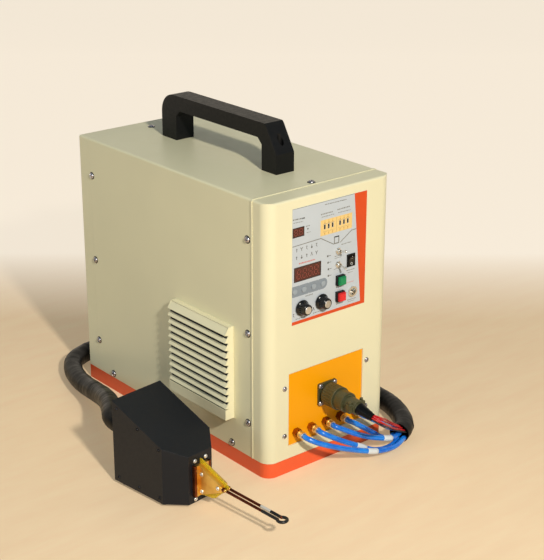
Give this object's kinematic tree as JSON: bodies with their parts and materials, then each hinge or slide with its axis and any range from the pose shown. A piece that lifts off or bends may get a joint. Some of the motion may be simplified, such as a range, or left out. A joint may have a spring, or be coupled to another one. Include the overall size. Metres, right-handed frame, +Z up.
{
  "type": "induction heating machine",
  "caption": "Portable water-cooled induction heating machine: upright cabinet with control front and louvred hood, and a hose-linked work head with a small ring coil.",
  "frame": {"origin": "centre of the underside of the cabinet's plinth, on the floor", "axes": "+X to the cabinet's right seen from its front, +Y to its rear, +Z up; the front faces -Y"},
  "size_m": [0.4777, 0.6866, 0.484],
  "materials": {
    "cream_paint": "satin",
    "orange_paint": "satin",
    "yellow_paint": "satin",
    "overlay_film": "matte",
    "black_plastic": "matte",
    "black_gloss": "gloss",
    "rubber_black": "matte",
    "steel": "satin",
    "chrome": "polished",
    "brass": "satin",
    "copper": "satin",
    "olive_metal": "satin",
    "hose_blue": "gloss",
    "wire_red": "matte",
    "film_amber": "gloss",
    "dark_paint": "satin",
    "display_red": "gloss",
    "button_green": "gloss",
    "button_red": "gloss",
    "white_plastic": "matte",
    "aluminium": "satin",
    "board_green": "gloss",
    "core_iron": "matte"
  },
  "bodies": {
    "cabinet": {"base_tray": "orange_paint", "side_cover": "cream_paint", "rear_panel": "cream_paint", "front_bezel": "cream_paint", "louvre_hood": "cream_paint", "carry_handle": "black_plastic", "handle_screws": "steel", "cover_screws": "steel", "panel_overlay": "overlay_film", "connector_plate": "yellow_paint", "display_small": "display_red", "display_large": "display_red", "wheel_block": "black_plastic", "toggle_bodies": "chrome", "rocker_frame": "black_plastic", "button_bodies": "black_plastic", "potentiometers": "steel", "foot_switch_socket": "chrome", "signal_socket": "olive_metal", "plug_shell": "olive_metal", "hose_fittings": "chrome", "water_hoses": "hose_blue", "control_wires": "wire_red", "bundle_sleeve": "rubber_black", "circuit_breaker": "white_plastic", "water_nozzles": "brass", "cable_gland": "black_plastic", "fan_frame": "black_plastic", "cold_plate": "aluminium", "power_board": "board_green", "control_board": "board_green"},
    "work_head": {"head_case": "dark_paint", "head_feet": "rubber_black", "head_gland": "black_plastic", "terminal_left": "brass", "terminal_right": "brass", "insulator_sheet": "film_amber", "work_coil": "copper", "head_screws": "steel", "head_transformer": "core_iron"},
    "wheel_1": {"thumbwheel_1": "black_gloss"},
    "wheel_2": {"thumbwheel_2": "black_gloss"},
    "wheel_3": {"thumbwheel_3": "black_gloss"},
    "wheel_4": {"thumbwheel_4": "black_gloss"},
    "wheel_5": {"thumbwheel_5": "black_gloss"},
    "wheel_6": {"thumbwheel_6": "black_gloss"},
    "toggle_a": {"toggle_upper": "chrome"},
    "toggle_b": {"toggle_lower": "chrome"},
    "rocker": {"power_rocker": "black_gloss"},
    "start": {"start_button": "button_green"},
    "stop": {"stop_button": "button_red"},
    "pad_1": {"key_1": "black_plastic"},
    "pad_2": {"key_2": "black_plastic"},
    "pad_3": {"key_3": "black_plastic"},
    "pad_4": {"key_4": "black_plastic"},
    "dial_left": {"knob_left": "black_gloss"},
    "dial_right": {"knob_right": "black_gloss"},
    "ring": {"coupling_ring": "olive_metal"},
    "lever": {"breaker_lever": "black_gloss"},
    "rotor": {"fan_rotor": "black_plastic"}
  },
  "joints": [
    {"name": "wheel_1_turn", "type": "hinge", "parent": "cabinet", "child": "wheel_1", "pos_m": [-0.01206, -0.2248, 0.36199], "axis": [1, 0, 0], "continuous": true},
    {"name": "wheel_2_turn", "type": "hinge", "parent": "cabinet", "child": "wheel_2", "pos_m": [-0.00476, -0.2248, 0.36199], "axis": [1, 0, 0], "continuous": true},
    {"name": "wheel_3_turn", "type": "hinge", "parent": "cabinet", "child": "wheel_3", "pos_m": [0.00254, -0.2248, 0.36199], "axis": [1, 0, 0], "continuous": true},
    {"name": "wheel_4_turn", "type": "hinge", "parent": "cabinet", "child": "wheel_4", "pos_m": [0.01651, -0.2248, 0.36199], "axis": [1, 0, 0], "continuous": true},
    {"name": "wheel_5_turn", "type": "hinge", "parent": "cabinet", "child": "wheel_5", "pos_m": [0.02381, -0.2248, 0.36199], "axis": [1, 0, 0], "continuous": true},
    {"name": "wheel_6_turn", "type": "hinge", "parent": "cabinet", "child": "wheel_6", "pos_m": [0.03111, -0.2248, 0.36199], "axis": [1, 0, 0], "continuous": true},
    {"name": "toggle_a_tilt", "type": "hinge", "parent": "cabinet", "child": "toggle_a", "pos_m": [0.01304, -0.2342, 0.32107], "axis": [1, 0, 0], "range_deg": [0, 32]},
    {"name": "toggle_b_tilt", "type": "hinge", "parent": "cabinet", "child": "toggle_b", "pos_m": [0.01304, -0.2342, 0.30095], "axis": [1, 0, 0], "range_deg": [-22, 4]},
    {"name": "rocker_tilt", "type": "hinge", "parent": "cabinet", "child": "rocker", "pos_m": [0.03816, -0.2304, 0.30163], "axis": [1, 0, 0], "range_deg": [-16, 0]},
    {"name": "start_push", "type": "slide", "parent": "cabinet", "child": "start", "axis": [0, 1, 0], "range_m": [0, 0.003], "stiffness_N_per_m": 150},
    {"name": "stop_push", "type": "slide", "parent": "cabinet", "child": "stop", "axis": [0, 1, 0], "range_m": [0, 0.003], "stiffness_N_per_m": 150},
    {"name": "key_1_push", "type": "slide", "parent": "cabinet", "child": "pad_1", "axis": [0, 1, 0], "range_m": [0, 0.0005], "stiffness_N_per_m": 150},
    {"name": "key_2_push", "type": "slide", "parent": "cabinet", "child": "pad_2", "axis": [0, 1, 0], "range_m": [0, 0.0005], "stiffness_N_per_m": 150},
    {"name": "key_3_push", "type": "slide", "parent": "cabinet", "child": "pad_3", "axis": [0, 1, 0], "range_m": [0, 0.0005], "stiffness_N_per_m": 150},
    {"name": "key_4_push", "type": "slide", "parent": "cabinet", "child": "pad_4", "axis": [0, 1, 0], "range_m": [0, 0.0005], "stiffness_N_per_m": 150},
    {"name": "dial_left_turn", "type": "hinge", "parent": "cabinet", "child": "dial_left", "pos_m": [-0.05347, -0.235, 0.25253], "axis": [0, 1, 0], "range_deg": [-90, 180]},
    {"name": "dial_right_turn", "type": "hinge", "parent": "cabinet", "child": "dial_right", "pos_m": [-0.01704, -0.235, 0.25253], "axis": [0, 1, 0], "range_deg": [-90, 180]},
    {"name": "ring_turn", "type": "hinge", "parent": "cabinet", "child": "ring", "pos_m": [-0.002, -0.247, 0.10604], "axis": [0, 1, 0], "continuous": true},
    {"name": "lever_tilt", "type": "hinge", "parent": "cabinet", "child": "lever", "pos_m": [-0.0621, 0.2275, 0.1449], "axis": [1, 0, 0], "range_deg": [-50, 0]},
    {"name": "rotor_spin", "type": "hinge", "parent": "cabinet", "child": "rotor", "pos_m": [0, 0.216, 0.29808], "axis": [0, 1, 0], "continuous": true},
    {"name": "head_lift", "type": "slide", "parent": "cabinet", "child": "work_head", "axis": [0, 0, 1], "range_m": [0, 0.1]}
  ]
}
